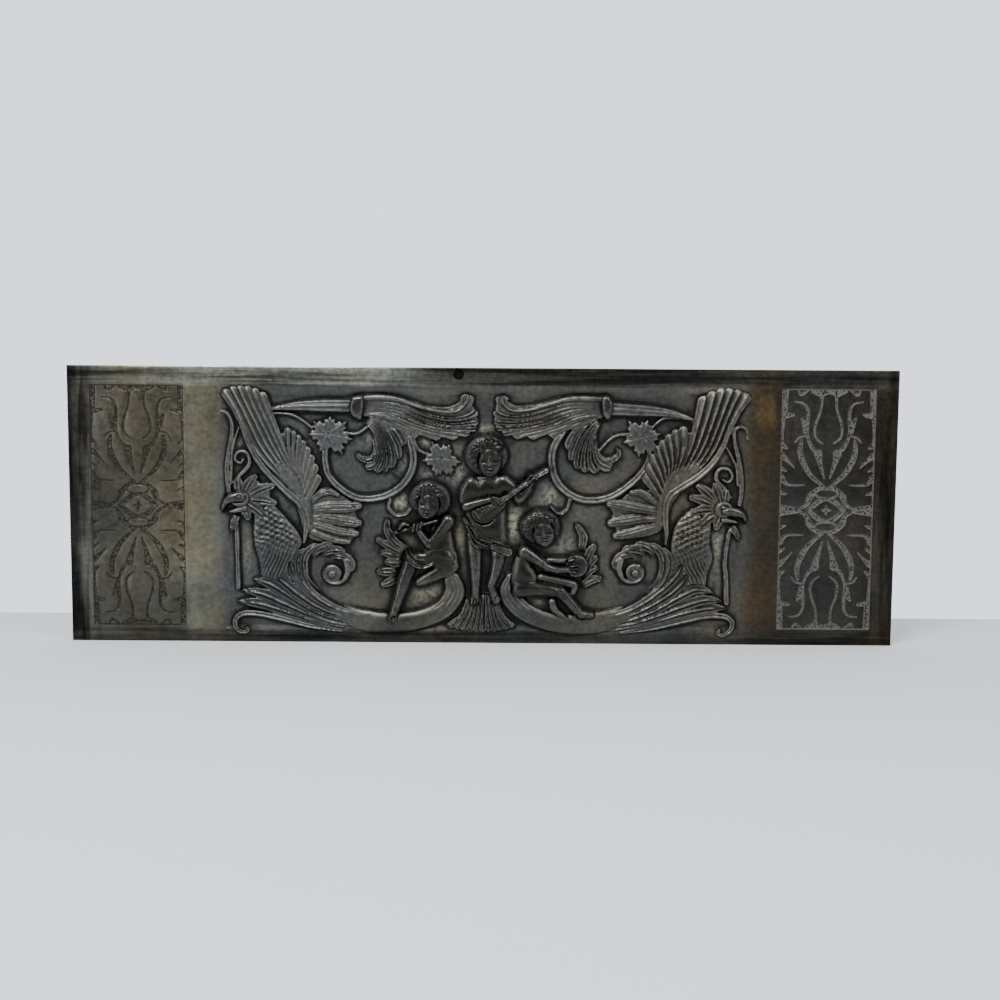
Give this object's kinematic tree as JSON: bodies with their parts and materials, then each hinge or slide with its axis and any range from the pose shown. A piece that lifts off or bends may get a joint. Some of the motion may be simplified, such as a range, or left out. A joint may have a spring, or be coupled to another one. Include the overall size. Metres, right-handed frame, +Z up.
{
  "type": "relief plaque",
  "caption": "Long rectangular bronze wall plaque with music-making putti between birds, acanthus scrolls and etched side panels, and a blind fixing hole near the top edge.",
  "frame": {"origin": "middle of the flat back face, which rests against the wall", "axes": "+X along the length to the viewer's right, +Y from the face to the wall, +Z up"},
  "size_m": [0.457, 0.0106, 0.153],
  "materials": {
    "bronze": "dark patinated bronze with worn silver-grey crowns"
  },
  "bodies": {
    "root": {"plaque": "bronze"}
  },
  "joints": []
}
